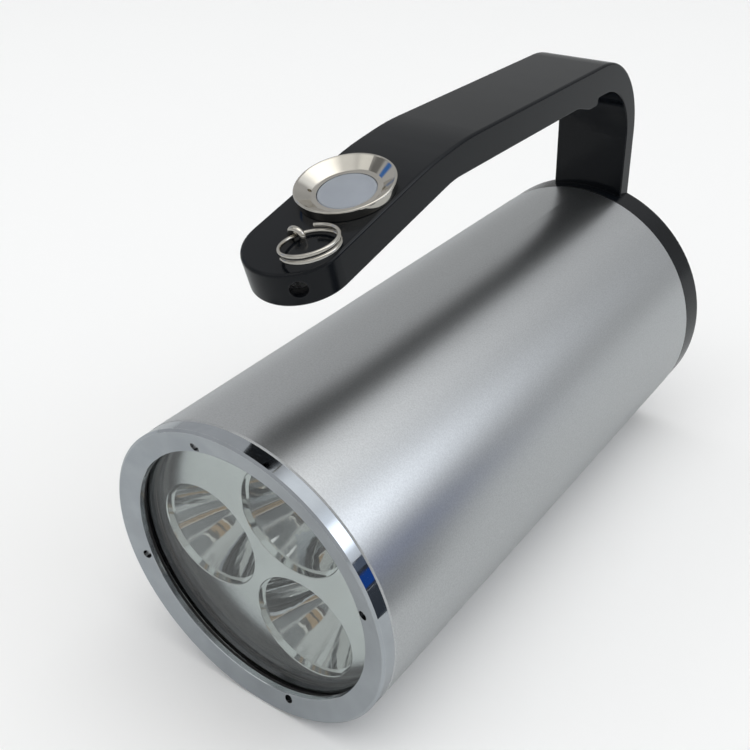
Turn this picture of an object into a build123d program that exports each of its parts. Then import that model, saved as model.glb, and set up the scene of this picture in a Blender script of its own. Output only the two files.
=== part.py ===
from build123d import *
from math import atan, cos, radians, sin, sqrt
import os

os.makedirs("parts", exist_ok=True)

# Handheld searchlight. Millimetres. X is sideways, Y runs along the barrel with
# the beam towards -Y, +Z is up through the handle. The origin is under the middle
# of the barrel, at the height of the surface that the barrel lies on.

# ---------------------------------------------------------------- dimensions
R_BODY = 42.5            # barrel outer radius
LENGTH = 181.5           # front face to rear face
ZC = R_BODY              # height of the barrel axis
Y0 = -LENGTH / 2         # front face of the bezel

S_SEAM = 4.2             # bezel to barrel seam, measured back from the front face
S_CAP = 171.3            # barrel to rear cap seam
R_END = 42.4             # bezel and rear cap outer radius
R_OPEN = 36.0            # bezel opening radius
DISH = 1.35              # depth of the dished bezel face at the opening
LIP_BACK = 2.8           # back of the bezel lip
R_POCKET = 38.3          # bore of the bezel skirt
R_SKIRT = 39.93          # outside of the bezel skirt
S_SKIRT = 15.0           # rear end of the bezel skirt
R_BORE = 40.0            # barrel end bores
R_MID = 38.6             # barrel middle bore
S_STEP = 35.5            # shoulder that the heat sink seats on

HOLE_PCR = 37.5          # spanner holes in the bezel face
HOLE_R = 1.2
HOLE_ANGLE = 14.5

GASKET_T = 1.0           # front gasket
GLASS_T = 4.0            # lens glass
R_GLASS = 38.1
S_GLASS = LIP_BACK + GASKET_T
S_PLATE = 11.2           # front plane of the reflector plate
CUP_PITCH = 19.55        # cup centre to barrel axis
CUP_R = 15.2             # cup rim
CUP_FLARE_R = 14.7       # where the parabola starts
CUP_LIP = 2.2            # straight lip at the cup mouth
CUP_EXIT_R = 3.8         # hole at the back of the cup
CUP_BACK = 27.7          # rear end of the cups
CUP_ANGLES = (181.0, 61.0, 301.0)
CUP_WALL = 1.0

S_LED = 28.7             # front of the LED board
LED_T = 1.6
FIN_END = 50.0
ROD_PCR = 34.6           # tie rods
ROD_ANGLES = (31.0, 151.0, 271.0)
S_DRIVER = 54.0
CELL_R = 9.2             # round cells, 18.4 x 65
CELL_L = 65.0
CELL_PCR = 19.1
S_CELL = 74.0
S_CHARGE = 149.0
SPIGOT_R = 39.93         # rear cap spigot
S_SPIGOT = 159.0
S_WALL = 178.5           # inside of the rear cap's end wall

# handle, in barrel coordinates: s back from the front face, z up from the axis
BAR_W = 24.5             # handle width
BAR_TOP = 88.0
BAR_LOW = 79.2
POST_FRONT = 175.4
REAR_R = 26.5            # outer radius of the rear corner
PAD_SLOPE = 0.246        # rise of the front pad per millimetre
PAD_S, PAD_Z = 27.5, 77.0
LOW_SLOPE = 0.232
NOSE_S = 30.1            # centre of the rounded front end
NOSE_R = BAR_W / 2

SW_S = 48.82             # switch axis on the pad
STAPLE_X, STAPLE_S = 0.25, 30.79   # lanyard staple
STAPLE_WIRE = 0.8        # staple wire radius
STAPLE_HALF = 1.75       # half the distance between its legs
STAPLE_RISE = 0.65       # height of the straight legs above the pad
RING_R = 6.68            # split ring centreline radius
RING_WIRE = 0.45         # its wire radius
RING_PITCH = 1.35
RING_TURNS = 600.0       # winding, degrees

# ---------------------------------------------------------------- planes and axes
barrel_axis = Axis((0, Y0, ZC), (0, 1, 0))
side = Plane(origin=(0, Y0, ZC), x_dir=(0, 1, 0), z_dir=(1, 0, 0))


def face_at(s):
    """Plane across the barrel, s back from the front face, facing the front."""
    return Plane(origin=(0, Y0 + s, ZC), x_dir=(1, 0, 0), z_dir=(0, -1, 0))


def polar(radius, angle):
    return (radius * cos(radians(angle)), radius * sin(radians(angle)))


pad_angle = atan(PAD_SLOPE)
pad_along = Vector(0, cos(pad_angle), sin(pad_angle))
pad_up = Vector(0, -sin(pad_angle), cos(pad_angle))


def pad_point(s):
    return Vector(0, Y0 + s, ZC + PAD_Z + (s - PAD_S) * PAD_SLOPE)


nose = Plane(origin=pad_point(NOSE_S), x_dir=(1, 0, 0), z_dir=pad_up)
staple = Plane(origin=pad_point(STAPLE_S) + Vector(STAPLE_X, 0, 0), x_dir=(1, 0, 0), z_dir=pad_up)
staple_front = Plane(origin=pad_point(STAPLE_S) + Vector(STAPLE_X, 0, 0), x_dir=(1, 0, 0), z_dir=pad_along * -1)
switch = Plane(origin=pad_point(SW_S), x_dir=(1, 0, 0), z_dir=pad_up)
switch_side = Plane(origin=pad_point(SW_S), x_dir=pad_along, z_dir=(1, 0, 0))
switch_axis = Axis(pad_point(SW_S), pad_up)


def switch_at(h):
    return switch.offset(h)


# ================================================================ front end
# ---------------------------------------------------------------- bezel ring
with BuildPart() as bezel_ring:
    with BuildSketch(side):
        with BuildLine():
            Polyline(
                (DISH, R_OPEN + 0.1), (DISH - 0.04, R_OPEN + 0.2), (0.0, 41.75), (0.5, R_END), (S_SEAM - 0.25, R_END),
                (S_SEAM, R_END - 0.25), (S_SEAM, R_SKIRT), (5.6, R_SKIRT), (5.6, 38.92), (7.0, 38.92), (7.0, R_SKIRT),
                (S_SKIRT - 0.3, R_SKIRT), (S_SKIRT, R_SKIRT - 0.3), (S_SKIRT, R_POCKET), (LIP_BACK, R_POCKET),
                (LIP_BACK, R_OPEN), (DISH + 0.15, R_OPEN), close=True,
            )
        make_face()
    revolve(axis=barrel_axis)
    with BuildSketch(face_at(2.3)):
        with PolarLocations(HOLE_PCR, 4, start_angle=HOLE_ANGLE):
            Circle(HOLE_R)
    extrude(amount=5, mode=Mode.SUBTRACT)
bezel_ring.part.label = "bezel_ring"
export_step(bezel_ring.part, "parts/bezel_ring.step")

# ---------------------------------------------------------------- front O-ring
with BuildPart() as front_o_ring:
    with BuildSketch(side):
        with Locations((6.3, 39.44)):
            Circle(0.5)
    revolve(axis=barrel_axis)
front_o_ring.part.label = "front_o_ring"
export_step(front_o_ring.part, "parts/front_o_ring.step")

# ---------------------------------------------------------------- front gasket
with BuildPart() as front_gasket:
    with BuildSketch(face_at(LIP_BACK + GASKET_T)):
        Circle(38.2)
        Circle(36.35, mode=Mode.SUBTRACT)
    extrude(amount=GASKET_T)
front_gasket.part.label = "front_gasket"
export_step(front_gasket.part, "parts/front_gasket.step")

# ---------------------------------------------------------------- lens glass
with BuildPart() as lens_glass:
    with BuildSketch(face_at(S_GLASS + GLASS_T)):
        Circle(R_GLASS)
    extrude(amount=GLASS_T)
    chamfer(lens_glass.edges().filter_by(GeomType.CIRCLE), length=0.3)
lens_glass.part.label = "lens_glass"
export_step(lens_glass.part, "parts/lens_glass.step")

# ---------------------------------------------------------------- spacer between glass and reflector
with BuildPart() as reflector_spacer:
    with BuildSketch(side):
        with BuildLine():
            Polyline(
                (S_GLASS + GLASS_T, 37.1), (S_GLASS + GLASS_T, 38.2), (S_PLATE, 38.2),
                (S_PLATE, 37.0), (S_PLATE - 0.9, 37.0), (S_PLATE - 1.3, 36.6), (S_GLASS + GLASS_T + 0.6, 36.6), close=True,
            )
        make_face()
    revolve(axis=barrel_axis)
reflector_spacer.part.label = "reflector_spacer"
export_step(reflector_spacer.part, "parts/reflector_spacer.step")

# ---------------------------------------------------------------- three-cup reflector
# each cup: a short straight lip, a small step, then a parabola to the LED hole
cup_front = S_PLATE + CUP_LIP
cup_4f = (CUP_FLARE_R ** 2 - CUP_EXIT_R ** 2) / (CUP_BACK - cup_front)
cup_mid_r = (CUP_FLARE_R + CUP_EXIT_R) / 2
cup_mid_s = cup_front + (CUP_FLARE_R - cup_mid_r) * CUP_FLARE_R / (cup_4f / 2)
cup_planes = []
cup_axes = []
for angle in CUP_ANGLES:
    cx, cz = polar(CUP_PITCH, angle)
    cup_planes.append(Plane(origin=(cx, Y0, ZC + cz), x_dir=(0, 1, 0), z_dir=(1, 0, 0)))
    cup_axes.append(Axis((cx, Y0, ZC + cz), (0, 1, 0)))

with BuildPart() as reflector:
    with BuildSketch(face_at(S_PLATE + 1.2)):
        Circle(R_GLASS)
    extrude(amount=1.2)
    for i in range(3):
        with BuildSketch(cup_planes[i]):
            with BuildLine():
                Polyline((cup_front, CUP_FLARE_R + CUP_WALL), (S_PLATE + 0.6, CUP_FLARE_R + CUP_WALL + 0.5),
                         (S_PLATE + 0.6, 0), (CUP_BACK, 0), (CUP_BACK, CUP_EXIT_R + CUP_WALL))
                Bezier((CUP_BACK, CUP_EXIT_R + CUP_WALL), (cup_mid_s, cup_mid_r + CUP_WALL),
                       (cup_front, CUP_FLARE_R + CUP_WALL))
            make_face()
        revolve(axis=cup_axes[i])
    for i in range(3):
        with BuildSketch(cup_planes[i]):
            with BuildLine():
                Polyline((cup_front, CUP_FLARE_R), (cup_front, CUP_R), (S_PLATE + 0.2, CUP_R), (S_PLATE, CUP_R + 0.2),
                         (S_PLATE - 1, CUP_R + 0.2), (S_PLATE - 1, 0), (CUP_BACK + 1, 0), (CUP_BACK + 1, CUP_EXIT_R),
                         (CUP_BACK, CUP_EXIT_R))
                Bezier((CUP_BACK, CUP_EXIT_R), (cup_mid_s, cup_mid_r), (cup_front, CUP_FLARE_R))
            make_face()
        revolve(axis=cup_axes[i], mode=Mode.SUBTRACT)
reflector.part.label = "reflector"
export_step(reflector.part, "parts/reflector.step")

# ---------------------------------------------------------------- LED pieces
with BuildPart() as led_rings:
    with BuildSketch(face_at(S_LED)):
        for angle in CUP_ANGLES:
            with Locations(polar(CUP_PITCH, angle)):
                Circle(6.0)
                Circle(3.8, mode=Mode.SUBTRACT)
    extrude(amount=S_LED - CUP_BACK)
led_rings.part.label = "led_rings"
export_step(led_rings.part, "parts/led_rings.step")

with BuildPart() as led_packages:
    with BuildSketch(face_at(S_LED)):
        for angle in CUP_ANGLES:
            with Locations(polar(CUP_PITCH, angle)):
                Rectangle(5.0, 5.0)
    extrude(amount=0.8)
led_packages.part.label = "led_packages"
export_step(led_packages.part, "parts/led_packages.step")

with BuildPart() as led_dies:
    with BuildSketch(face_at(S_LED - 0.8)):
        for angle in CUP_ANGLES:
            with Locations(polar(CUP_PITCH, angle)):
                Rectangle(2.6, 2.6)
    extrude(amount=0.35)
led_dies.part.label = "led_dies"
export_step(led_dies.part, "parts/led_dies.step")

with BuildPart() as led_domes:
    for i in range(3):
        with BuildSketch(cup_planes[i]):
            with BuildLine():
                dome = CenterArc((S_LED - 0.8, 0), 2.45, 90, 90)
                Polyline((S_LED - 3.25, 0), (S_LED - 0.8, 0), (S_LED - 0.8, 2.45))
            make_face()
        revolve(axis=cup_axes[i])
    with BuildSketch(face_at(S_LED - 0.8)):
        for angle in CUP_ANGLES:
            with Locations(polar(CUP_PITCH, angle)):
                Rectangle(2.6, 2.6)
    extrude(amount=0.35, mode=Mode.SUBTRACT)
led_domes.part.label = "led_domes"
export_step(led_domes.part, "parts/led_domes.step")

SCREW_ANGLES = (1.0, 121.0, 241.0)
SCREW_PCR = 25.0
LEAD_XZ = ((0.0, 9.0), (0.0, -9.0))
with BuildPart() as led_board:
    with BuildSketch(face_at(S_LED + LED_T)):
        Circle(37.0)
        for angle in SCREW_ANGLES:
            with Locations(polar(SCREW_PCR, angle)):
                Circle(1.6, mode=Mode.SUBTRACT)
    extrude(amount=LED_T)
led_board.part.label = "led_board"
export_step(led_board.part, "parts/led_board.step")

S_SINK = S_LED + LED_T
with BuildPart() as heat_sink:
    with BuildSketch(face_at(S_STEP)):
        Circle(39.9)
    extrude(amount=S_STEP - S_SINK)
    with BuildSketch(face_at(FIN_END)):
        Circle(6.0)
        with PolarLocations(18.0, 12):
            Rectangle(26.0, 1.6)
    extrude(amount=FIN_END - S_STEP)
    with BuildSketch(face_at(S_STEP + 1)):
        with Locations(*[polar(16.0, 15.0), polar(16.0, 195.0)]):
            Circle(1.6)
        with Locations(*[polar(SCREW_PCR, a) for a in SCREW_ANGLES]):
            Circle(1.25)
    extrude(amount=S_STEP - S_SINK + 2, mode=Mode.SUBTRACT)
    with BuildSketch(face_at(S_STEP)):
        with Locations(*[polar(ROD_PCR, a) for a in ROD_ANGLES]):
            Circle(1.5)
    extrude(amount=4.0, mode=Mode.SUBTRACT)
heat_sink.part.label = "heat_sink"
export_step(heat_sink.part, "parts/heat_sink.step")

with BuildPart() as led_board_screws:
    with BuildSketch(face_at(S_LED)):
        with Locations(*[polar(SCREW_PCR, a) for a in SCREW_ANGLES]):
            Circle(2.75)
    extrude(amount=1.8)
    with BuildSketch(face_at(S_STEP - 0.7)):
        with Locations(*[polar(SCREW_PCR, a) for a in SCREW_ANGLES]):
            Circle(1.25)
    extrude(amount=S_STEP - 0.7 - S_LED)
    with BuildSketch(face_at(S_LED - 0.8)):
        with Locations(*[polar(SCREW_PCR, a) for a in SCREW_ANGLES]):
            RegularPolygon(1.2, 6)
    extrude(amount=2.0, mode=Mode.SUBTRACT)
led_board_screws.part.label = "led_board_screws"
export_step(led_board_screws.part, "parts/led_board_screws.step")

# two insulated wires from the LED board back to the driver board
with BuildPart() as led_leads:
    with BuildSketch(face_at(S_DRIVER)):
        with Locations(*[polar(16.0, 15.0), polar(16.0, 195.0)]):
            Circle(0.9)
    extrude(amount=S_DRIVER - S_SINK)
led_leads.part.label = "led_leads"
export_step(led_leads.part, "parts/led_leads.step")

# ================================================================ inner stack
rod_spots = [polar(ROD_PCR, a) for a in ROD_ANGLES]
S_FRAME_1 = (76.0, 81.0)
S_FRAME_2 = (132.0, 137.0)

with BuildPart() as tie_rods:
    with BuildSketch(face_at(S_CHARGE + 5.0)):
        with Locations(*rod_spots):
            Circle(1.5)
    extrude(amount=S_CHARGE + 5.0 - (S_STEP - 4.0))
tie_rods.part.label = "tie_rods"
export_step(tie_rods.part, "parts/tie_rods.step")

with BuildPart() as tie_rod_nuts:
    with BuildSketch(face_at(S_CHARGE + 1.6 + 2.4)):
        with Locations(*rod_spots):
            RegularPolygon(3.1, 6)
            Circle(1.5, mode=Mode.SUBTRACT)
    extrude(amount=2.4)
tie_rod_nuts.part.label = "tie_rod_nuts"
export_step(tie_rod_nuts.part, "parts/tie_rod_nuts.step")

with BuildPart() as sleeves_driver:
    with BuildSketch(face_at(S_DRIVER)):
        with Locations(*rod_spots):
            Circle(2.8)
            Circle(1.55, mode=Mode.SUBTRACT)
    extrude(amount=S_DRIVER - S_STEP)
sleeves_driver.part.label = "sleeves_driver"
export_step(sleeves_driver.part, "parts/sleeves_driver.step")

with BuildPart() as sleeves_front:
    with BuildSketch(face_at(S_FRAME_1[0])):
        with Locations(*rod_spots):
            Circle(2.8)
            Circle(1.55, mode=Mode.SUBTRACT)
    extrude(amount=S_FRAME_1[0] - (S_DRIVER + 1.6))
sleeves_front.part.label = "sleeves_front"
export_step(sleeves_front.part, "parts/sleeves_front.step")

with BuildPart() as sleeves_rear:
    with BuildSketch(face_at(S_CHARGE)):
        with Locations(*rod_spots):
            Circle(2.8)
            Circle(1.55, mode=Mode.SUBTRACT)
    extrude(amount=S_CHARGE - S_FRAME_2[1])
sleeves_rear.part.label = "sleeves_rear"
export_step(sleeves_rear.part, "parts/sleeves_rear.step")

with BuildPart() as driver_board:
    with BuildSketch(face_at(S_DRIVER + 1.6)):
        Circle(38.2)
        with Locations(*rod_spots):
            Circle(1.6, mode=Mode.SUBTRACT)
    extrude(amount=1.6)
driver_board.part.label = "driver_board"
export_step(driver_board.part, "parts/driver_board.step")

with BuildPart() as driver_inductor:
    with BuildSketch(face_at(S_DRIVER + 1.6 + 6.5)):
        with Locations((-14, 12)):
            RectangleRounded(12.5, 12.5, 2.0)
    extrude(amount=6.5)
driver_inductor.part.label = "driver_inductor"
export_step(driver_inductor.part, "parts/driver_inductor.step")

with BuildPart() as driver_capacitors:
    with BuildSketch(face_at(S_DRIVER + 1.6 + 9.0)):
        with Locations((14, 14), (17, -8)):
            Circle(4.0)
    extrude(amount=9.0)
driver_capacitors.part.label = "driver_capacitors"
export_step(driver_capacitors.part, "parts/driver_capacitors.step")

with BuildPart() as driver_chips:
    with BuildSketch(face_at(S_DRIVER + 1.6 + 1.6)):
        with Locations((-15, -8), (-2, -20), (0, 24)):
            Rectangle(6.0, 5.0)
    extrude(amount=1.6)
driver_chips.part.label = "driver_chips"
export_step(driver_chips.part, "parts/driver_chips.step")

# six round cells in two moulded frames
with BuildPart() as battery_cells:
    with BuildSketch(face_at(S_CELL + CELL_L)):
        with PolarLocations(CELL_PCR, 6):
            Circle(CELL_R)
    extrude(amount=CELL_L)
battery_cells.part.label = "battery_cells"
export_step(battery_cells.part, "parts/battery_cells.step")

with BuildPart() as battery_frame_front:
    with BuildSketch(face_at(S_FRAME_1[1])):
        Circle(38.3)
        Circle(6.0, mode=Mode.SUBTRACT)
        with PolarLocations(CELL_PCR, 6):
            Circle(CELL_R + 0.05, mode=Mode.SUBTRACT)
        with Locations(*rod_spots):
            Circle(1.55, mode=Mode.SUBTRACT)
    extrude(amount=S_FRAME_1[1] - S_FRAME_1[0])
battery_frame_front.part.label = "battery_frame_front"
export_step(battery_frame_front.part, "parts/battery_frame_front.step")

with BuildPart() as battery_frame_rear:
    with BuildSketch(face_at(S_FRAME_2[1])):
        Circle(38.3)
        Circle(6.0, mode=Mode.SUBTRACT)
        with PolarLocations(CELL_PCR, 6):
            Circle(CELL_R + 0.05, mode=Mode.SUBTRACT)
        with Locations(*rod_spots):
            Circle(1.55, mode=Mode.SUBTRACT)
    extrude(amount=S_FRAME_2[1] - S_FRAME_2[0])
battery_frame_rear.part.label = "battery_frame_rear"
export_step(battery_frame_rear.part, "parts/battery_frame_rear.step")

# welded strips: each joins two neighbouring cells
with BuildPart() as nickel_strips:
    for s, first in ((S_CELL, 30.0), (S_CELL + CELL_L + 0.3, 90.0)):
        with BuildSketch(face_at(s)):
            with PolarLocations(CELL_PCR * cos(radians(30)), 3, start_angle=first):
                Rectangle(7.0, 26.0)
        extrude(amount=0.3)
nickel_strips.part.label = "nickel_strips"
export_step(nickel_strips.part, "parts/nickel_strips.step")

with BuildPart() as battery_pad_front:
    with BuildSketch(face_at(S_CELL - 0.3)):
        Circle(30.0)
        Circle(5.0, mode=Mode.SUBTRACT)
    extrude(amount=3.0)
battery_pad_front.part.label = "battery_pad_front"
export_step(battery_pad_front.part, "parts/battery_pad_front.step")

with BuildPart() as battery_pad_rear:
    with BuildSketch(face_at(S_CELL + CELL_L + 3.3)):
        Circle(30.0)
        Circle(5.0, mode=Mode.SUBTRACT)
        with Locations((19.1, 0), (-19.1, 0)):
            Circle(2.0, mode=Mode.SUBTRACT)
    extrude(amount=3.0)
battery_pad_rear.part.label = "battery_pad_rear"
export_step(battery_pad_rear.part, "parts/battery_pad_rear.step")

with BuildPart() as charge_board:
    with BuildSketch(face_at(S_CHARGE + 1.6)):
        Circle(38.2)
        with Locations(*rod_spots):
            Circle(1.6, mode=Mode.SUBTRACT)
    extrude(amount=1.6)
charge_board.part.label = "charge_board"
export_step(charge_board.part, "parts/charge_board.step")

with BuildPart() as charge_chips:
    with BuildSketch(face_at(S_CHARGE + 1.6 + 1.6)):
        with Locations((-16, 6), (16, 4), (-12, -14), (12, -16)):
            Rectangle(6.0, 5.0)
    extrude(amount=1.6)
charge_chips.part.label = "charge_chips"
export_step(charge_chips.part, "parts/charge_chips.step")

# leads: cells to charge board, charge board to driver board, socket to charge board
with BuildPart() as battery_leads:
    with BuildSketch(face_at(S_CHARGE)):
        with Locations((19.1, 0), (-19.1, 0)):
            Circle(1.1)
    extrude(amount=S_CHARGE - (S_CELL + CELL_L + 0.3))
battery_leads.part.label = "battery_leads"
export_step(battery_leads.part, "parts/battery_leads.step")

with BuildPart() as power_leads:
    with BuildSketch(face_at(S_CHARGE)):
        with Locations((1.6, 0), (-1.6, 0)):
            Circle(1.1)
    extrude(amount=S_CHARGE - (S_DRIVER + 1.6))
power_leads.part.label = "power_leads"
export_step(power_leads.part, "parts/power_leads.step")

# ================================================================ barrel and rear cap
with BuildPart() as barrel:
    with BuildSketch(side):
        with BuildLine():
            Polyline(
                (S_SEAM, R_BORE), (S_SEAM, R_BODY - 0.35), (S_SEAM + 0.35, R_BODY), (S_CAP - 0.25, R_BODY),
                (S_CAP, R_BODY - 0.25), (S_CAP, R_BORE), (S_CAP - 16, R_BORE), (S_CAP - 17.4, R_MID),
                (S_STEP, R_MID), (S_STEP, R_BORE), close=True,
            )
        make_face()
    revolve(axis=barrel_axis)
barrel.part.label = "barrel"
export_step(barrel.part, "parts/barrel.step")

SOCKET_R = 5.5
with BuildPart() as rear_cap:
    with BuildSketch(side):
        with BuildLine():
            Polyline(
                (S_CAP, SPIGOT_R), (S_CAP, R_END - 0.2), (S_CAP + 0.2, R_END), (LENGTH - 0.8, R_END),
                (LENGTH, R_END - 0.8), (LENGTH, 9.0), (LENGTH - 1.2, 9.0), (LENGTH - 1.2, SOCKET_R), (S_WALL, SOCKET_R),
                (S_WALL, 36.5), (S_SPIGOT, 36.5), (S_SPIGOT, SPIGOT_R - 0.3), (S_SPIGOT + 0.3, SPIGOT_R),
                (163.5, SPIGOT_R), (163.5, 38.4), (166.0, 38.4), (166.0, SPIGOT_R), close=True,
            )
        make_face()
    revolve(axis=barrel_axis)
    # fingernail notch beside the charging plug
    with BuildSketch(face_at(LENGTH)):
        with Locations((0, 9.6)):
            Circle(2.2)
    extrude(amount=1.2, mode=Mode.SUBTRACT)
    # hole for the switch lead and the two handle screws, up through the rim
    with BuildSketch(Plane(origin=(0, Y0 + 178.45, ZC + 28), x_dir=(1, 0, 0), z_dir=(0, 0, 1))):
        Circle(1.7)
    extrude(amount=20, mode=Mode.SUBTRACT)
    with BuildSketch(Plane(origin=(0, Y0 + 178.0, ZC + 24), x_dir=(1, 0, 0), z_dir=(0, 0, 1))):
        with Locations((8, 0), (-8, 0)):
            Circle(2.9)
    extrude(amount=14.6, mode=Mode.SUBTRACT)
    with BuildSketch(Plane(origin=(0, Y0 + 178.0, ZC + 24), x_dir=(1, 0, 0), z_dir=(0, 0, 1))):
        with Locations((8, 0), (-8, 0)):
            Circle(1.55)
    extrude(amount=24, mode=Mode.SUBTRACT)
    # lead passes forwards out of the end wall here
    with BuildSketch(face_at(180.2)):
        with Locations((0, 29.3)):
            Rectangle(3.6, 4.6)
    extrude(amount=3.0, mode=Mode.SUBTRACT)
rear_cap.part.label = "rear_cap"
export_step(rear_cap.part, "parts/rear_cap.step")

with BuildPart() as rear_o_ring:
    with BuildSketch(side):
        with Locations((164.75, 39.19)):
            Circle(0.77)
    revolve(axis=barrel_axis)
rear_o_ring.part.label = "rear_o_ring"
export_step(rear_o_ring.part, "parts/rear_o_ring.step")

# ---------------------------------------------------------------- charging socket, its pin and plug
with BuildPart() as charge_socket:
    with BuildSketch(side):
        with BuildLine():
            Polyline(
                (166.0, 0), (166.0, SOCKET_R - 0.3), (176.5, SOCKET_R - 0.3), (176.5, 8.0), (S_WALL, 8.0),
                (S_WALL, SOCKET_R - 0.05), (LENGTH - 1.4, SOCKET_R - 0.05), (LENGTH - 1.4, 2.95), (170.0, 2.95),
                (170.0, 1.05), (168.0, 1.05), (168.0, 0), close=True,
            )
        make_face()
    revolve(axis=barrel_axis)
charge_socket.part.label = "charge_socket"
export_step(charge_socket.part, "parts/charge_socket.step")

with BuildPart() as socket_pin:
    with BuildSketch(face_at(178.5)):
        Circle(1.05)
    extrude(amount=10.5)
    fillet(socket_pin.edges().filter_by(GeomType.CIRCLE).sort_by(Axis.Y)[-1], 0.5)
socket_pin.part.label = "socket_pin"
export_step(socket_pin.part, "parts/socket_pin.step")

with BuildPart() as socket_leads:
    with BuildSketch(face_at(166.0)):
        with Locations((2.6, 0), (-2.6, 0)):
            Circle(0.9)
    extrude(amount=166.0 - (S_CHARGE + 1.6))
socket_leads.part.label = "socket_leads"
export_step(socket_leads.part, "parts/socket_leads.step")

with BuildPart() as charge_port_plug:
    with BuildSketch(side):
        with BuildLine():
            Polyline(
                (172.0, 1.35), (172.0, 2.5), (172.4, 2.75), (LENGTH - 1.2, 2.75), (LENGTH - 1.2, 8.8), (LENGTH - 0.3, 8.8),
                (LENGTH, 8.5), (LENGTH, 0), (LENGTH - 1.8, 0), (LENGTH - 1.8, 1.35), close=True,
            )
        make_face()
    revolve(axis=barrel_axis)
charge_port_plug.part.label = "charge_port_plug"
export_step(charge_port_plug.part, "parts/charge_port_plug.step")

# ================================================================ handle
lead_path_points = [(56.3, 79.6), (73.0, 83.5), (178.45, 83.5), (178.45, 29.3), (160.9, 29.3)]
lead_path_radii = [40.0, 20.0, 5.0]



def is_rim(c):
    """Long edges of the handle, on its sides or round its free end."""
    s = c.Y - Y0
    on_side = abs(abs(c.X) - BAR_W / 2) < 1e-3
    return c.Z > ZC + 44 and (on_side or (abs(c.X) < 1e-3 and s < NOSE_S))


def is_nose_seam(e):
    return abs(e.center().Y - Y0 - NOSE_S) < 4.0 and e.length < 12.0


def is_outer(c):
    """Upper and rear edges, as opposed to those towards the barrel."""
    s, z = c.Y - Y0, c.Z - ZC
    if s > 160:
        return sqrt((s - LENGTH + REAR_R) ** 2 + (z - BAR_TOP + REAR_R) ** 2) > 22 or s > LENGTH - 1
    return z > min(BAR_TOP, PAD_Z + (s - PAD_S) * PAD_SLOPE) - 2.5


with BuildPart() as handle:
    # side profile: post, level bar with a finger stop under it, front part sloping down
    with BuildSketch(side) as handle_profile:
        with BuildLine():
            front_top = (10.0, PAD_Z + (10.0 - PAD_S) * PAD_SLOPE)
            bend_low = (64.2, PAD_Z + (64.2 - PAD_S) * PAD_SLOPE)
            front_low = (10.0, BAR_LOW - (74.6 - 10.0) * LOW_SLOPE)
            Polyline((POST_FRONT, 36.0), (POST_FRONT, BAR_LOW), (151.9, BAR_LOW), (151.9, 77.05), (146.9, 77.05),
                     (139.2, BAR_LOW), (74.6, BAR_LOW), front_low, front_top, bend_low, (80.0, BAR_TOP),
                     (LENGTH, BAR_TOP), (LENGTH, 36.0), close=True)
        make_face()
        fillet(handle_profile.vertices().sort_by_distance((LENGTH, BAR_TOP))[0], radius=REAR_R)
        fillet(handle_profile.vertices().sort_by_distance((POST_FRONT, BAR_LOW))[0], radius=18.5)
        fillet(handle_profile.vertices().sort_by_distance((151.9, BAR_LOW))[0], radius=0.8)
        fillet(handle_profile.vertices().sort_by_distance((151.9, 77.05))[0], radius=1.2)
        fillet(handle_profile.vertices().sort_by_distance((146.9, 77.05))[0], radius=6.0)
        fillet(handle_profile.vertices().sort_by_distance((139.2, BAR_LOW))[0], radius=8.0)
        fillet(handle_profile.vertices().sort_by_distance((74.6, BAR_LOW))[0], radius=25.0)
        fillet(handle_profile.vertices().sort_by_distance(bend_low)[0], radius=90.0)
        fillet(handle_profile.vertices().sort_by_distance((80.0, BAR_TOP))[0], radius=90.0)
    extrude(amount=BAR_W / 2, both=True)
    # rounded front end, square to the pad
    with BuildSketch(nose.offset(-14)):
        with Locations((0, -20)):
            Rectangle(40, 40)
        Circle(NOSE_R, mode=Mode.SUBTRACT)
        with Locations((0, 20)):
            Rectangle(40, 40, mode=Mode.SUBTRACT)
    extrude(amount=24, mode=Mode.SUBTRACT)
    # soften the long outer edges
    rims = handle.edges().filter_by(lambda e: is_rim(e.center()) and not is_nose_seam(e) and not is_outer(e.center()))
    fillet(rims, radius=0.45)
    rims = handle.edges().filter_by(lambda e: is_rim(e.center()) and not is_nose_seam(e) and is_outer(e.center()))
    fillet(rims, radius=0.8)
    # the post's foot follows the cap
    with BuildSketch(face_at(LENGTH + 5)):
        Circle(R_END)
    extrude(amount=20, mode=Mode.SUBTRACT)
    # switch pocket with a ledge
    with BuildSketch(switch_at(1.0)):
        Circle(9.75)
    extrude(amount=-4.2, mode=Mode.SUBTRACT)
    with BuildSketch(switch_at(1.0)):
        Circle(8.75)
    extrude(amount=-7.6, mode=Mode.SUBTRACT)
    # channel for the switch lead
    with BuildLine(side) as channel_line:
        FilletPolyline(*lead_path_points, radius=lead_path_radii)
    with BuildSketch(Plane(origin=channel_line.line @ 0, z_dir=channel_line.line % 0)):
        Circle(1.5)
    sweep(path=channel_line.line, mode=Mode.SUBTRACT)
    # screw holes in the foot
    with BuildSketch(Plane(origin=(0, Y0 + 178.0, ZC + 36), x_dir=(1, 0, 0), z_dir=(0, 0, 1))):
        with Locations((8, 0), (-8, 0)):
            Circle(1.5)
    extrude(amount=17.0, mode=Mode.SUBTRACT)
    # holes for the staple's legs
    with BuildSketch(staple):
        with Locations((STAPLE_HALF, 0), (-STAPLE_HALF, 0)):
            Circle(STAPLE_WIRE)
    extrude(amount=-4.0, mode=Mode.SUBTRACT)
    # hole in the rounded end for the grub screw
    hole_dir = pad_along * sin(radians(-51.5)) + Vector(cos(radians(-51.5)), 0, 0)
    with BuildSketch(Plane(origin=pad_point(NOSE_S) - pad_up * 4.1 + hole_dir * 4.8, z_dir=hole_dir)):
        Circle(2.1)
    extrude(amount=11.6, mode=Mode.SUBTRACT)
handle.part.label = "handle"
export_step(handle.part, "parts/handle.step")

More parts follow.
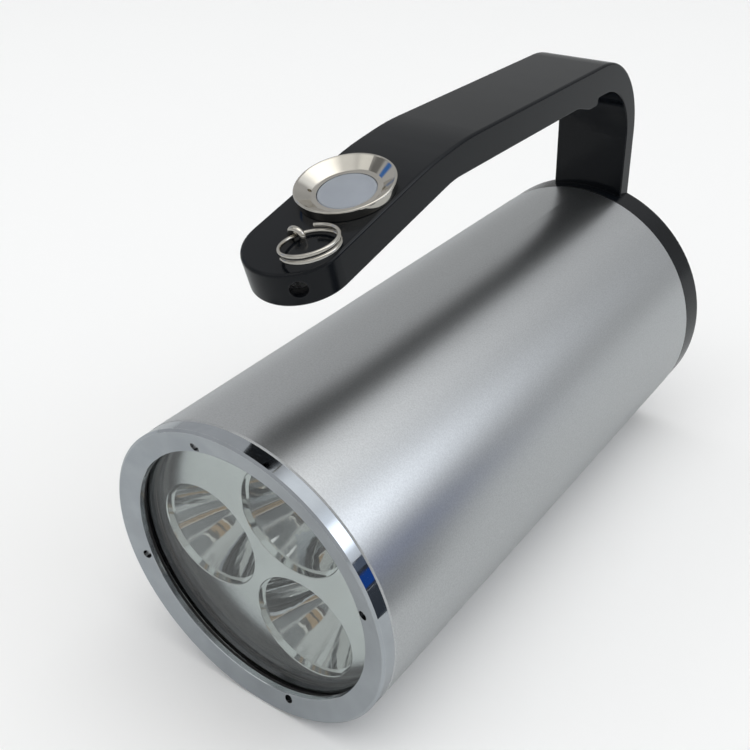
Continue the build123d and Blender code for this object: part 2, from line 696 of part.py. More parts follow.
with BuildPart() as end_screw:
    with BuildSketch(Plane(origin=pad_point(NOSE_S) - pad_up * 4.1 + hole_dir * 4.8, z_dir=hole_dir)):
        Circle(2.05)
    extrude(amount=4.2)
    with BuildSketch(Plane(origin=pad_point(NOSE_S) - pad_up * 4.1 + hole_dir * 9.0, z_dir=hole_dir)):
        RegularPolygon(1.15, 6)
    extrude(amount=-2.0, mode=Mode.SUBTRACT)
end_screw.part.label = "end_screw"
export_step(end_screw.part, "parts/end_screw.step")

with BuildPart() as handle_screws:
    with BuildSketch(Plane(origin=(0, Y0 + 178.0, ZC + 36.4), x_dir=(1, 0, 0), z_dir=(0, 0, 1))):
        with Locations((8, 0), (-8, 0)):
            Circle(2.75)
    extrude(amount=2.2)
    with BuildSketch(Plane(origin=(0, Y0 + 178.0, ZC + 38.6), x_dir=(1, 0, 0), z_dir=(0, 0, 1))):
        with Locations((8, 0), (-8, 0)):
            Circle(1.5)
    extrude(amount=13.4)
    with BuildSketch(Plane(origin=(0, Y0 + 178.0, ZC + 36.4), x_dir=(1, 0, 0), z_dir=(0, 0, 1))):
        with Locations((8, 0), (-8, 0)):
            RegularPolygon(1.4, 6)
    extrude(amount=1.4, mode=Mode.SUBTRACT)
handle_screws.part.label = "handle_screws"
export_step(handle_screws.part, "parts/handle_screws.step")

# ---------------------------------------------------------------- switch lead and connector
with BuildPart() as switch_lead:
    with BuildLine(side) as lead_line:
        FilletPolyline((57.6, 79.9), *lead_path_points[1:], radius=lead_path_radii)
    with BuildSketch(Plane(origin=lead_line.line @ 0, z_dir=lead_line.line % 0)):
        Circle(1.1)
    sweep(path=lead_line.line)
switch_lead.part.label = "switch_lead"
export_step(switch_lead.part, "parts/switch_lead.step")

with BuildPart() as switch_connector:
    with BuildSketch(face_at(160.9)):
        with Locations((0, 29.3)):
            Rectangle(7.0, 5.0)
    extrude(amount=160.9 - (S_CHARGE + 1.6))
switch_connector.part.label = "switch_connector"
export_step(switch_connector.part, "parts/switch_connector.step")

# ================================================================ switch
with BuildPart() as switch_ring:
    with BuildSketch(switch_side):
        with BuildLine():
            rim = ThreePointArc((11.38, 2.63), (11.77, 2.75), (12.0, 2.44))
            Polyline(
                (12.0, 2.44), (11.98, 2.25), (11.55, 0.15), (11.42, 0.0), (9.7, 0.0), (9.7, -2.6), (8.6, -2.6),
                (8.6, -0.6), (7.12, -0.6), (7.12, 0.42), (8.2, 0.42), (8.42, 0.53), (11.38, 2.63),
            )
        make_face()
    revolve(axis=switch_axis)
    # two small key notches where the cone meets the inner lip
    with BuildSketch(switch_at(-0.2)):
        with Locations(polar(8.75, 204.0), polar(8.75, 24.0)):
            Circle(0.45)
    extrude(amount=3.0, mode=Mode.SUBTRACT)
switch_ring.part.label = "switch_ring"
export_step(switch_ring.part, "parts/switch_ring.step")

with BuildPart() as switch_gasket:
    with BuildSketch(switch_at(-3.2)):
        Circle(9.7)
        Circle(8.8, mode=Mode.SUBTRACT)
    extrude(amount=0.6)
switch_gasket.part.label = "switch_gasket"
export_step(switch_gasket.part, "parts/switch_gasket.step")

with BuildPart() as switch_button:
    with BuildSketch(switch_side):
        with BuildLine():
            crown = ThreePointArc((0, 0.75), (3.7, 0.67), (6.75, 0.47))
            Polyline((6.75, 0.47), (7.0, 0.24), (7.0, -0.75), (8.4, -0.75), (8.4, -1.5), (2.6, -1.5), (2.6, -2.2), (0, -2.2), (0, 0.75))
        make_face()
    revolve(axis=switch_axis)
switch_button.part.label = "switch_button"
export_step(switch_button.part, "parts/switch_button.step")

with BuildPart() as switch_board:
    with BuildSketch(switch_at(-6.6)):
        Circle(8.6)
    extrude(amount=1.0)
switch_board.part.label = "switch_board"
export_step(switch_board.part, "parts/switch_board.step")

with BuildPart() as tact_switch:
    with BuildSketch(switch_at(-5.6)):
        RectangleRounded(6.0, 6.0, 0.5)
    extrude(amount=2.2)
    with BuildSketch(switch_at(-5.45)):
        Circle(1.7)
    extrude(amount=3.0, mode=Mode.SUBTRACT)
tact_switch.part.label = "tact_switch"
export_step(tact_switch.part, "parts/tact_switch.step")

with BuildPart() as tact_actuator:
    with BuildSketch(switch_at(-4.3)):
        Circle(1.6)
    extrude(amount=2.1)
tact_actuator.part.label = "tact_actuator"
export_step(tact_actuator.part, "parts/tact_actuator.step")

with BuildPart() as indicator_leds:
    with BuildSketch(switch_at(-5.6)):
        with PolarLocations(6.3, 4, start_angle=45):
            Rectangle(0.9, 1.8)
    extrude(amount=0.7)
indicator_leds.part.label = "indicator_leds"
export_step(indicator_leds.part, "parts/indicator_leds.step")

# ================================================================ lanyard staple and split ring
# the staple is a bent wire, its legs pressed into the handle
with BuildPart() as lanyard_staple:
    with BuildLine(staple_front) as bow:
        Line((-STAPLE_HALF, -3.6), (-STAPLE_HALF, STAPLE_RISE))
        CenterArc((0, STAPLE_RISE), STAPLE_HALF, 180, -180)
        Line((STAPLE_HALF, STAPLE_RISE), (STAPLE_HALF, -3.6))
    with BuildSketch(Plane(origin=bow.line @ 0, z_dir=bow.line % 0)):
        Circle(STAPLE_WIRE)
    sweep(path=bow.line)
lanyard_staple.part.label = "lanyard_staple"
export_step(lanyard_staple.part, "parts/lanyard_staple.step")

# split ring: a wire wound less than two turns, leaning up out of the staple
ring_hold = staple.origin + pad_up * 0.88
ring_normal = (pad_up + Vector(1, 0, 0) * -0.14 + pad_along * 0.13).normalized()
ring_out = Vector(cos(radians(-23.9)), 0, 0) + pad_along * sin(radians(-23.9))
ring_out = (ring_out - ring_normal * ring_out.dot(ring_normal)).normalized()
ring_along = ring_normal.cross(ring_out)
TO_HOLD = 276.0          # winding angle from the lower end to the point held by the staple
ring_start_dir = (ring_out * -1) * cos(radians(TO_HOLD)) - ring_normal.cross(ring_out * -1) * sin(radians(TO_HOLD))
ring_base = ring_hold + ring_out * RING_R - ring_normal * (RING_PITCH * TO_HOLD / 360)
ring_plane = Plane(origin=ring_base, x_dir=ring_start_dir, z_dir=ring_normal)
with BuildPart() as ring_coil:
    with BuildLine() as coil:
        Helix(pitch=RING_PITCH, height=RING_PITCH * RING_TURNS / 360, radius=RING_R)
    with BuildSketch(Plane(origin=coil.line @ 0, x_dir=(1, 0, 0), z_dir=coil.line % 0)):
        Circle(RING_WIRE)
    sweep(path=coil.line, is_frenet=True)
split_ring = ring_plane.location * ring_coil.part
split_ring.label = "split_ring"
export_step(split_ring, "parts/split_ring.step")
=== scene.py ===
import math

import bmesh
import bpy
from mathutils import Matrix, Vector

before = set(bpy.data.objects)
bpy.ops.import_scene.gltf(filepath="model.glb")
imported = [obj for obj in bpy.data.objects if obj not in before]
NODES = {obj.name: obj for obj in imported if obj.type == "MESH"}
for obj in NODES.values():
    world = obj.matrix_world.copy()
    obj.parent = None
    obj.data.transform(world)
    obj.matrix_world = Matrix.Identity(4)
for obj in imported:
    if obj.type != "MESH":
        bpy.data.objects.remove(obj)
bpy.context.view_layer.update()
scene = bpy.context.scene

# Millimetres in the barrel's own coordinates: x sideways, s back from the front
# face, z up from the barrel axis.
def at(x, s, z):
    return Vector((x, s - 90.75, z + 42.5)) * 0.001


# ------------------------------------------------------------------ camera
AZ, EL, ROLL = math.radians(35.06), math.radians(34.45), math.radians(-1.08)
back = Vector((math.sin(AZ) * math.cos(EL), -math.cos(AZ) * math.cos(EL), math.sin(EL)))
right0 = (-back).cross(Vector((0, 0, 1))).normalized()
up0 = right0.cross(-back)
right = math.cos(ROLL) * right0 + math.sin(ROLL) * up0
up = -math.sin(ROLL) * right0 + math.cos(ROLL) * up0
cam_data = bpy.data.cameras.new("camera")
cam_data.sensor_fit = "HORIZONTAL"
cam_data.sensor_width = 36.0
cam_data.lens = 46.69
cam_data.shift_x = -0.0668
cam_data.shift_y = 0.0544
cam_data.clip_start = 0.01
cam_data.clip_end = 50
camera = bpy.data.objects.new("camera", cam_data)
camera.matrix_world = Matrix((
    (right.x, up.x, back.x, 0.13418),
    (right.y, up.y, back.y, -0.20417),
    (right.z, up.z, back.z, 0.20706),
    (0, 0, 0, 1),
))
scene.collection.objects.link(camera)
scene.camera = camera
scene.view_settings.view_transform = "Standard"
scene.view_settings.look = "None"
scene.view_settings.exposure = 0.0
scene.view_settings.gamma = 1.0


# ------------------------------------------------------------------ materials
class Nodes:
    """A few words for building a node tree."""

    def __init__(self, mat):
        self.tree = mat.node_tree
        self.tree.nodes.clear()

    def add(self, kind, **values):
        n = self.tree.nodes.new("ShaderNode" + kind)
        for k, v in values.items():
            if hasattr(n, k):
                setattr(n, k, v)
            else:
                n.inputs[k].default_value = v
        return n

    def link(self, a, b):
        self.tree.links.new(a, b)

    def noise(self, scale, detail=2.0, rough=0.5, stretch=None):
        c = self.add("TexCoord").outputs["Object"]
        if stretch:
            m = self.add("Mapping")
            m.inputs["Scale"].default_value = stretch
            self.link(c, m.inputs["Vector"])
            c = m.outputs["Vector"]
        n = self.add("TexNoise")
        n.inputs["Scale"].default_value = scale
        n.inputs["Detail"].default_value = detail
        n.inputs["Roughness"].default_value = rough
        self.link(c, n.inputs["Vector"])
        return n.outputs["Fac"]

    def ranged(self, fac, lo, hi, a=0.3, b=0.7, smooth=False):
        r = self.add("MapRange")
        if smooth:
            r.interpolation_type = "SMOOTHSTEP"
        r.inputs["From Min"].default_value = a
        r.inputs["From Max"].default_value = b
        r.inputs["To Min"].default_value = lo
        r.inputs["To Max"].default_value = hi
        self.link(fac, r.inputs["Value"])
        return r.outputs["Result"]

    def blend(self, fac, c1, c2):
        m = self.add("MixRGB")
        if isinstance(fac, float):
            m.inputs[0].default_value = fac
        else:
            self.link(fac, m.inputs[0])
        for i, c in ((1, c1), (2, c2)):
            if isinstance(c, tuple):
                m.inputs[i].default_value = (*c, 1.0)
            else:
                self.link(c, m.inputs[i])
        return m.outputs[0]


def material(name, base, rough, metallic=0.0, tint=0.08, tint_scale=60.0, rough_swing=0.05,
             rough_scale=90.0, bumps=(), wear=None, wear_radius=0.0004, principled=None, stretch=None,
             second=None):
    """Principled surface with a mottled colour, uneven gloss, fine relief and rubbed edges."""
    mat = bpy.data.materials.new(name)
    mat.use_nodes = True
    n = Nodes(mat)
    out = n.add("OutputMaterial")
    bsdf = n.add("BsdfPrincipled")
    n.link(bsdf.outputs[0], out.inputs[0])
    bsdf.inputs["Metallic"].default_value = metallic
    for k, v in (principled or {}).items():
        bsdf.inputs[k].default_value = v
    dark = tuple(c * (1 - tint) for c in base)
    light = tuple(min(1.0, c * (1 + tint)) for c in base)
    colour = n.blend(n.ranged(n.noise(tint_scale, 3.0), 0.0, 1.0), dark, light)
    if second:
        other, scale, amount = second
        colour = n.blend(n.ranged(n.noise(scale, 4.0, 0.6), 0.0, amount, 0.52, 0.7), colour, other)
    roughness = n.ranged(n.noise(rough_scale, 3.0, stretch=stretch), rough - rough_swing, rough + rough_swing)
    if wear:
        edge = n.add("Bevel", samples=4)
        edge.inputs["Radius"].default_value = wear_radius
        geo = n.add("NewGeometry")
        dot = n.add("VectorMath", operation="DOT_PRODUCT")
        n.link(edge.outputs[0], dot.inputs[0])
        n.link(geo.outputs["Normal"], dot.inputs[1])
        fac = n.ranged(dot.outputs["Value"], 1.0, 0.0, 0.80, 0.99)
        rub = n.ranged(n.noise(900.0, 4.0, 0.6), 0.15, 1.0, 0.35, 0.65)
        mul = n.add("Math", operation="MULTIPLY")
        n.link(fac, mul.inputs[0])
        n.link(rub, mul.inputs[1])
        colour = n.blend(mul.outputs[0], colour, wear)
    n.link(colour, bsdf.inputs["Base Color"])
    n.link(roughness, bsdf.inputs["Roughness"])
    last = None
    for scale, depth, detail, stretched in bumps:
        b = n.add("Bump")
        b.inputs["Strength"].default_value = 1.0
        b.inputs["Distance"].default_value = depth
        n.link(n.noise(scale, detail, 0.55, stretched), b.inputs["Height"])
        if last:
            n.link(last, b.inputs["Normal"])
        last = b.outputs[0]
    if last:
        n.link(last, bsdf.inputs["Normal"])
    return mat


MATS = {
    "barrel_anodised": material(
        "barrel_anodised", (0.705, 0.72, 0.73), 0.305, 1.0, 0.08, 2600.0, 0.016, 2000.0,
        bumps=((2900.0, 0.000021, 2.0, None), (5200.0, 0.00001, 2.0, None))),
    "bezel_chrome": material(
        "bezel_chrome", (0.575, 0.61, 0.645), 0.06, 1.0, 0.07, 110.0, 0.04, 420.0, second=((0.46, 0.50, 0.54), 48.0, 0.6),
        bumps=((60.0, 0.00002, 2.0, None), (900.0, 0.0000012, 3.0, None)), wear=(0.85, 0.86, 0.87), wear_radius=0.0003),
    "black_anodised": material(
        "black_anodised", (0.0045, 0.0056, 0.0074), 0.15, 0.0, 0.12, 40.0, 0.035, 160.0,
        bumps=((2400.0, 0.000003, 3.0, None),), wear=(0.035, 0.036, 0.038), wear_radius=0.0005,
        principled={"Specular IOR Level": 0.27}),
    "reflector_metal": material(
        "reflector_metal", (0.86, 0.87, 0.86), 0.05, 1.0, 0.03, 90.0, 0.02, 200.0,
        bumps=((300.0, 0.0000022, 2.0, None), (2400.0, 0.0000015, 3.0, None))),
    "raw_aluminium": material("raw_aluminium", (0.55, 0.56, 0.57), 0.35, 1.0, 0.06, 200.0, 0.06, 500.0,
                              bumps=((1500.0, 0.00001, 3.0, (1, 0.1, 1)),)),
    "seal_rubber": material("seal_rubber", (0.018, 0.018, 0.019), 0.55, 0.0, 0.15, 200.0, 0.08, 500.0,
                            bumps=((1800.0, 0.00002, 3.0, None),)),
    "foam_grey": material("foam_grey", (0.10, 0.10, 0.105), 0.85, 0.0, 0.2, 300.0, 0.05, 500.0,
                          bumps=((1500.0, 0.0002, 4.0, None),)),
    "lead_insulation": material("lead_insulation", (0.16, 0.012, 0.01), 0.4, 0.0, 0.08, 100.0, 0.05, 300.0,
                                bumps=((900.0, 0.00002, 2.0, None),)),
    "button_silicone": material(
        "button_silicone", (0.295, 0.32, 0.36), 0.42, 0.0, 0.05, 120.0, 0.05, 400.0,
        bumps=((2200.0, 0.000012, 3.0, None),),
        principled={"Subsurface Weight": 0.6, "Subsurface Radius": (1.0, 1.05, 1.2), "Subsurface Scale": 0.002}),
    "nickel_bright": material(
        "nickel_bright", (0.70, 0.67, 0.61), 0.09, 1.0, 0.04, 200.0, 0.03, 500.0,
        bumps=((700.0, 0.000002, 3.0, None),), wear=(0.86, 0.84, 0.79), wear_radius=0.0002),
    "screw_steel": material("screw_steel", (0.42, 0.42, 0.42), 0.3, 1.0, 0.1, 400.0, 0.08, 700.0,
                            bumps=((1800.0, 0.000015, 3.0, None),)),
    "pin_brass": material("pin_brass", (0.62, 0.44, 0.14), 0.22, 1.0, 0.06, 400.0, 0.05, 700.0,
                          bumps=((1800.0, 0.000006, 3.0, None),)),
    "black_plastic": material("black_plastic", (0.024, 0.031, 0.036), 0.36, 0.0, 0.12, 200.0, 0.06, 500.0,
                              bumps=((1700.0, 0.000004, 3.0, None),)),
    "board_plastic": material("board_plastic", (0.60, 0.57, 0.47), 0.4, 0.0, 0.06, 200.0, 0.05, 500.0,
                              bumps=((1700.0, 0.00001, 3.0, None),)),
    "ceramic_white": material("ceramic_white", (0.74, 0.74, 0.70), 0.3, 0.0, 0.04, 400.0, 0.04, 700.0,
                              bumps=((2500.0, 0.000004, 3.0, None),)),
    "phosphor_yellow": material("phosphor_yellow", (0.68, 0.42, 0.045), 0.55, 0.0, 0.06, 900.0, 0.05, 900.0,
                                bumps=((4000.0, 0.00001, 3.0, None),)),
    "board_white": material("board_white", (0.70, 0.70, 0.69), 0.35, 0.0, 0.05, 200.0, 0.05, 500.0,
                            bumps=((1700.0, 0.000006, 3.0, None),)),
    "board_green": material("board_green", (0.012, 0.085, 0.03), 0.35, 0.0, 0.1, 200.0, 0.05, 500.0,
                            bumps=((1400.0, 0.000012, 3.0, None),)),
    "ferrite_grey": material("ferrite_grey", (0.05, 0.05, 0.053), 0.6, 0.0, 0.12, 400.0, 0.05, 600.0,
                             bumps=((1500.0, 0.00002, 3.0, None),)),
    "capacitor_metal": material("capacitor_metal", (0.5, 0.5, 0.52), 0.3, 1.0, 0.05, 200.0, 0.05, 500.0,
                                bumps=((1700.0, 0.000006, 3.0, None),)),
    "cell_wrap": material("cell_wrap", (0.02, 0.09, 0.18), 0.32, 0.0, 0.06, 100.0, 0.05, 300.0,
                          bumps=((600.0, 0.00002, 2.0, None),)),
    "connector_white": material("connector_white", (0.66, 0.65, 0.60), 0.35, 0.0, 0.04, 200.0, 0.05, 500.0,
                                bumps=((1700.0, 0.00001, 3.0, None),)),
}


# the flat plate between the cups is satin, the cups are bright
refl = Nodes.__new__(Nodes)
refl.tree = MATS["reflector_metal"].node_tree
bsdf = next(x for x in refl.tree.nodes if x.type == "BSDF_PRINCIPLED")
xyz = refl.add("SeparateXYZ")
refl.link(refl.add("TexCoord").outputs["Object"], xyz.inputs[0])
on_plate = refl.ranged(xyz.outputs["Y"], 1.0, 0.0, -0.07950, -0.07942)
gloss = refl.add("MapRange")
refl.link(on_plate, gloss.inputs["Value"])
refl.link(bsdf.inputs["Roughness"].links[0].from_socket, gloss.inputs["To Min"])
gloss.inputs["To Max"].default_value = 0.24
refl.link(gloss.outputs["Result"], bsdf.inputs["Roughness"])


# inside the drilled spanner holes: painted shade (a dark colour) with a few bright streaks that are painted glints, and
# a duller gloss
chrome = Nodes.__new__(Nodes)
chrome.tree = MATS["bezel_chrome"].node_tree
bsdf = next(x for x in chrome.tree.nodes if x.type == "BSDF_PRINCIPLED")
where = chrome.add("SeparateXYZ")
chrome.link(chrome.add("TexCoord").outputs["Object"], where.inputs[0])


def maths(op, a, b=0.0):
    n = chrome.add("Math", operation=op)
    for i, v in enumerate((a, b)):
        if isinstance(v, float):
            n.inputs[i].default_value = v
        else:
            chrome.link(v, n.inputs[i])
    return n.outputs[0]


x, z = where.outputs["X"], maths("SUBTRACT", where.outputs["Z"], 0.0425)
c14, s14 = math.cos(math.radians(14.5)), math.sin(math.radians(14.5))
u = maths("ABSOLUTE", maths("ADD", maths("MULTIPLY", x, c14), maths("MULTIPLY", z, s14)))
v = maths("ABSOLUTE", maths("SUBTRACT", maths("MULTIPLY", z, c14), maths("MULTIPLY", x, s14)))
along_r, across = maths("SUBTRACT", maths("MAXIMUM", u, v), 0.0375), maths("MINIMUM", u, v)
from_hole = maths("SQRT", maths("ADD", maths("MULTIPLY", along_r, along_r), maths("MULTIPLY", across, across)))
in_hole = chrome.ranged(from_hole, 1.0, 0.0, 0.00121, 0.00128)
# painted shade for the hole insides, broken by bright streaks that are painted glints
hole_painted_shade_and_glints = chrome.blend(chrome.ranged(chrome.noise(900.0, 3.0, 0.6, (1, 0.4, 1)), 0.0, 1.0, 0.50, 0.57), (0.08, 0.083, 0.09),
                     (0.86, 0.87, 0.88))
chrome.link(chrome.blend(in_hole, bsdf.inputs["Base Color"].links[0].from_socket, hole_painted_shade_and_glints), bsdf.inputs["Base Color"])
dull = chrome.add("MapRange")
chrome.link(in_hole, dull.inputs["Value"])
chrome.link(bsdf.inputs["Roughness"].links[0].from_socket, dull.inputs["To Min"])
dull.inputs["To Max"].default_value = 0.22
chrome.link(dull.outputs["Result"], bsdf.inputs["Roughness"])


def clear(name, base, rough, ior):
    mat = material(name, base, rough, 0.0, 0.01, 40.0, 0.004, 60.0, bumps=((40.0, 0.000003, 1.0, None),),
                   principled={"Transmission Weight": 1.0, "IOR": ior})
    return mat


MATS["lens_glass"] = clear("lens_glass", (0.965, 0.985, 0.98), 0.008, 1.5)
MATS["led_silicone"] = clear("led_silicone", (0.97, 0.97, 0.95), 0.012, 1.41)

for name, obj in NODES.items():
    slots = [s.material.name.split(".")[0] if s.material else None for s in obj.material_slots]
    for i, s in enumerate(slots):
        if s in MATS:
            obj.material_slots[i].material = MATS[s]


# ------------------------------------------------------------------ floor and light
def quad(name, corners, colour, rough, emission=0.0):
    me = bpy.data.meshes.new(name)
    me.from_pydata([tuple(c) for c in corners], [], [(0, 1, 2, 3)])
    o = bpy.data.objects.new(name, me)
    scene.collection.objects.link(o)
    mat = bpy.data.materials.new(name)
    mat.use_nodes = True
    b = mat.node_tree.nodes["Principled BSDF"]
    b.inputs["Base Color"].default_value = (*colour, 1)
    b.inputs["Roughness"].default_value = rough
    b.inputs["Specular IOR Level"].default_value = 0.1
    b.inputs["Emission Color"].default_value = (*colour, 1)
    b.inputs["Emission Strength"].default_value = emission
    me.materials.append(mat)
    return o


def seen_by(o, camera=False, diffuse=False, glossy=False, transmission=False, shadow=False):
    o.visible_camera, o.visible_diffuse, o.visible_glossy = camera, diffuse, glossy
    o.visible_transmission, o.visible_shadow, o.visible_volume_scatter = transmission, shadow, False


def facing(az, el, dist, w, h, centre=(0, 0, 0.05)):
    """Corners of a rectangle seen from the object in a direction. Azimuth 0 is the front, 90 is +X."""
    a, e = math.radians(az), math.radians(el)
    d = Vector((math.sin(a) * math.cos(e), -math.cos(a) * math.cos(e), math.sin(e)))
    c = Vector(centre) + d * dist
    side = d.cross(Vector((0, 0, 1))).normalized()
    rise = side.cross(d)
    return [c - side * w / 2 - rise * h / 2, c + side * w / 2 - rise * h / 2,
            c + side * w / 2 + rise * h / 2, c - side * w / 2 + rise * h / 2], c, d


def soft_light(name, az, el, dist, w, h, radiance, colour=(1, 1, 1), diffuse=True, centre=(0, 0, 0.05)):
    _, c, d = facing(az, el, dist, w, h, centre)
    li = bpy.data.lights.new(name, "AREA")
    li.shape = "RECTANGLE"
    li.size, li.size_y = w, h
    li.energy = radiance * math.pi * w * h
    li.color = colour
    o = bpy.data.objects.new(name, li)
    o.matrix_world = Matrix.Translation(c) @ d.to_track_quat("Z", "Y").to_matrix().to_4x4()
    scene.collection.objects.link(o)
    o.visible_camera = False
    o.visible_diffuse = diffuse
    return o


H = 10.0
plane = [(-H, -H, 0), (H, -H, 0), (H, H, 0), (-H, H, 0)]
floor = quad("floor", plane, (0.93, 0.93, 0.93), 0.9)
seen_by(floor, camera=True, diffuse=True, shadow=True)
floor_dim = quad("floor_dim", [(x, y, 0.0003) for x, y, _ in plane], (0.53, 0.54, 0.542), 0.9)
seen_by(floor_dim, glossy=True)


def towards(az, el):
    a, e = math.radians(az), math.radians(el)
    return (math.sin(a) * math.cos(e), -math.cos(a) * math.cos(e), math.sin(e))


# The room that the bright parts reflect: an even soft grey, lighter patches where
# the soft boxes and the ceiling are, and a few darker ones.
world = bpy.data.worlds.new("studio")
scene.world = world
world.use_nodes = True
w = Nodes(world)
wout = w.add("OutputWorld")
wbg = w.add("Background")
w.link(wbg.outputs[0], wout.inputs[0])
wdir = w.add("TexCoord").outputs["Generated"]
sky = w.blend(0.0, (0.42, 0.425, 0.43), (0.42, 0.425, 0.43))
for az, el, inner, outer, colour in (
    (152, 8, 6, 28, (0.31, 0.315, 0.315)),
    (205, 16, 8, 30, (0.355, 0.36, 0.36)),
    (20, 68, 8, 34, (0.80, 0.80, 0.79)),
    (116, 33, 8, 28, (1.10, 1.15, 1.22)),
    (150, 55, 5, 20, (0.92, 0.94, 0.96)),
    (102, 73, 7, 30, (1.75, 1.74, 1.68)),
    (126, 28, 3, 11, (1.95, 2.05, 2.20)),
    (-41, 48, 4, 14, (0.85, 0.85, 0.83)),
    (-66, 37, 5, 12, (0.17, 0.17, 0.17)),
    (-88, 25, 3, 8, (0.05, 0.15, 0.42)),
):
    dot = w.add("VectorMath", operation="DOT_PRODUCT")
    w.link(wdir, dot.inputs[0])
    dot.inputs[1].default_value = towards(az, el)
    fac = w.ranged(dot.outputs["Value"], 0.0, 1.0, math.cos(math.radians(outer)), math.cos(math.radians(inner)), True)
    sky = w.blend(fac, sky, colour)
w.link(sky, wbg.inputs[0])
wbg.inputs["Strength"].default_value = 1.0


def diffuse_only(o):
    o.visible_glossy = False
    return o


diffuse_only(soft_light("overhead", 20, 82, 2.2, 3.0, 3.0, 0.72))
diffuse_only(soft_light("side_left", -70, 40, 2.4, 2.4, 1.6, 0.35))
diffuse_only(soft_light("side_right", 110, 40, 2.4, 2.4, 1.6, 0.35))


def panel(name, az, el, dist, w_deg, h_deg, colour, roll=0.0, centre=(0.02, -0.08, 0.045)):
    """A dark panel that only reflections see."""
    wd, ht = 2 * dist * math.tan(math.radians(w_deg / 2)), 2 * dist * math.tan(math.radians(h_deg / 2))
    corners, c, d = facing(az, el, dist, wd, ht, centre)
    o = quad(name, corners, colour, 0.9)
    m = o.data.materials[0].node_tree.nodes["Principled BSDF"]
    m.inputs["Base Color"].default_value = (0, 0, 0, 1)
    m.inputs["Emission Strength"].default_value = 1.0
    seen_by(o, glossy=True, transmission=True)
    return o


panel("flag", 125, -1.5, 0.70, 17, 31, (0.035, 0.04, 0.05))
panel("flag_top", 125, 11, 0.69, 17, 5, (0.10, 0.12, 0.16))
panel("flag_blue", 124, 2, 0.68, 14, 8, (0.010, 0.055, 0.26))
flag_foot = quad("flag_foot", [(0.04 + r * math.sin(math.radians(a)), -0.088 - r * math.cos(math.radians(a)), 0.0006)
                               for r, a in ((0.125, 118), (0.125, 133), (0.66, 133), (0.66, 118))],
                 (0.03, 0.035, 0.045), 0.9)
seen_by(flag_foot, glossy=True, transmission=True)

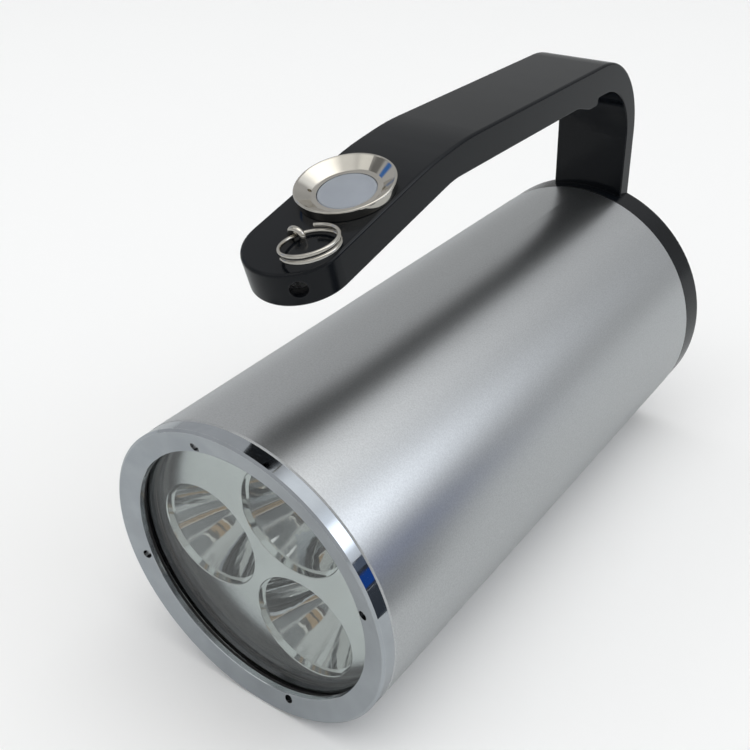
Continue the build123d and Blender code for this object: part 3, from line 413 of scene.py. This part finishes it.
# What the cups reflect: a dome that only rays leaving through the lens see. Its pale
# grey has a darker side and a group of warm and dark slats across it.
def cup_room():
    bm = bmesh.new()
    bmesh.ops.create_uvsphere(bm, u_segments=64, v_segments=32, radius=0.9)
    for f in bm.faces:
        f.smooth = True
    me = bpy.data.meshes.new("cup_room")
    bm.to_mesh(me)
    bm.free()
    o = bpy.data.objects.new("cup_room", me)
    o.location = (0.0, -0.09, 0.045)
    scene.collection.objects.link(o)
    mat = bpy.data.materials.new("cup_room")
    mat.use_nodes = True
    n = Nodes(mat)
    b = n.add("BsdfPrincipled")
    n.link(b.outputs[0], n.add("OutputMaterial").inputs[0])
    b.inputs["Base Color"].default_value = (0, 0, 0, 1)
    b.inputs["Roughness"].default_value = 0.9
    b.inputs["Specular IOR Level"].default_value = 0.0
    b.inputs["Emission Strength"].default_value = 1.0
    unit = n.add("VectorMath", operation="NORMALIZE")
    n.link(n.add("TexCoord").outputs["Object"], unit.inputs[0])

    def along(direction):
        dot = n.add("VectorMath", operation="DOT_PRODUCT")
        n.link(unit.outputs[0], dot.inputs[0])
        dot.inputs[1].default_value = direction
        return dot.outputs["Value"]

    def patch(az, el, inner, outer):
        return n.ranged(along(towards(az, el)), 0.0, 1.0,
                        math.cos(math.radians(outer)), math.cos(math.radians(inner)), True)

    col = n.blend(0.0, (0.37, 0.385, 0.38), (0.37, 0.385, 0.38))
    for az, el, inner, outer, colour in (
        (68, 50, 15, 27, (0.09, 0.095, 0.10)),
        (100, 62, 10, 22, (0.12, 0.125, 0.13)),
        (5, 80, 5, 17, (0.17, 0.175, 0.18)),
        (62, 11, 3, 7, (0.27, 0.36, 0.36)),
        (60, 50, 1, 4, (0.9, 0.92, 0.92)),
        (80, 38, 1, 3, (0.8, 0.82, 0.82)),
        (-4, 72, 1, 4, (0.8, 0.82, 0.82)),
    ):
        col = n.blend(patch(az, el, inner, outer), col, colour)
    low = n.ranged(along((0.0, 0.0, 1.0)), 1.0, 0.0, -0.22, -0.10, True)
    col = n.blend(low, col, (0.50, 0.53, 0.53))
    tan, dark, grey, light = (0.27, 0.19, 0.11), (0.05, 0.045, 0.045), (0.11, 0.115, 0.12), (0.5, 0.5, 0.47)
    slats = ((0.00, grey), (0.14, grey), (0.16, light), (0.19, light), (0.21, dark), (0.29, dark), (0.31, tan),
             (0.44, tan), (0.46, dark), (0.50, dark), (0.52, tan), (0.66, tan), (0.68, light), (0.71, light),
             (0.73, dark), (0.82, dark), (0.84, grey), (1.0, grey))
    for direction, lo, hi, where in (
        (towards(-26.1, -31.5), -0.24, 0.24, (35, 37, 15, 19)),
        ((0.0, 0.0, 1.0), -0.26, 0.14, (58, -5, 26, 33)),
    ):
        ramp = n.add("ValToRGB")
        cr = ramp.color_ramp
        for i, (pos, c) in enumerate(slats):
            e = cr.elements[i] if i < 2 else cr.elements.new(pos)
            e.position = pos
            e.color = (*c, 1.0)
        n.link(n.ranged(along(direction), 0.0, 1.0, lo, hi), ramp.inputs[0])
        col = n.blend(patch(*where), col, ramp.outputs[0])
    n.link(col, b.inputs["Emission Color"])
    me.materials.append(mat)
    seen_by(o, transmission=True)


cup_room()


# A pale backdrop beyond the floor, for views from lower down.
def backdrop():
    bm = bmesh.new()
    bmesh.ops.create_uvsphere(bm, u_segments=96, v_segments=48, radius=9.0)
    for f in bm.faces:
        f.smooth = True
    me = bpy.data.meshes.new("backdrop")
    bm.to_mesh(me)
    bm.free()
    o = bpy.data.objects.new("backdrop", me)
    scene.collection.objects.link(o)
    mat = bpy.data.materials.new("backdrop")
    mat.use_nodes = True
    b = mat.node_tree.nodes["Principled BSDF"]
    b.inputs["Base Color"].default_value = (0, 0, 0, 1)
    b.inputs["Specular IOR Level"].default_value = 0.0
    b.inputs["Emission Color"].default_value = (0.80, 0.805, 0.81, 1)
    b.inputs["Emission Strength"].default_value = 1.0
    me.materials.append(mat)
    seen_by(o, camera=True)


backdrop()
